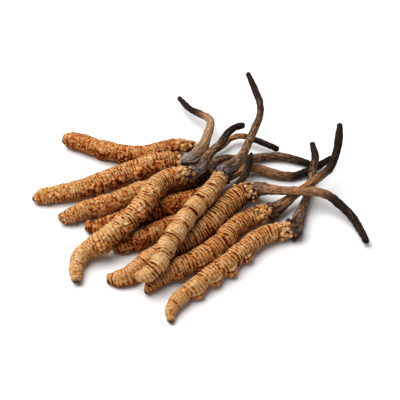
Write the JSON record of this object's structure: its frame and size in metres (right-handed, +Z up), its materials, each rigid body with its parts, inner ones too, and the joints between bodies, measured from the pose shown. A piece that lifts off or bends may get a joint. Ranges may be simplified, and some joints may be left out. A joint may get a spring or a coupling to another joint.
{
  "type": "bundle of dried cordyceps",
  "caption": "Loose bundle of dried cordyceps: ringed golden-brown larva bodies, each with a slim dark fungus stalk growing from its head, heaped on a flat surface.",
  "frame": {"origin": "centre of the bounding box, on the surface the bundle lies on", "axes": "+Z up; +X along the bundle from the larvae's tails towards the stalk tips on the right; +Y away from the side the picture was taken from"},
  "size_m": [0.0965, 0.087, 0.0242],
  "materials": {
    "dried_larva": "dry, matt, finely ringed skin",
    "dried_stalk": "dry, matt, wrinkled lengthwise"
  },
  "bodies": {
    "root": {"larva_01": "dried_larva", "larva_02": "dried_larva", "larva_03": "dried_larva", "larva_04": "dried_larva", "larva_05": "dried_larva", "larva_06": "dried_larva", "larva_07": "dried_larva", "larva_08": "dried_larva", "larva_09": "dried_larva", "larva_10": "dried_larva", "stalk_01": "dried_stalk", "stalk_02": "dried_stalk", "stalk_03": "dried_stalk", "stalk_04": "dried_stalk", "stalk_05": "dried_stalk", "stalk_06": "dried_stalk", "stalk_07": "dried_stalk", "stalk_08": "dried_stalk", "stalk_09": "dried_stalk", "stalk_10": "dried_stalk"}
  },
  "joints": []
}
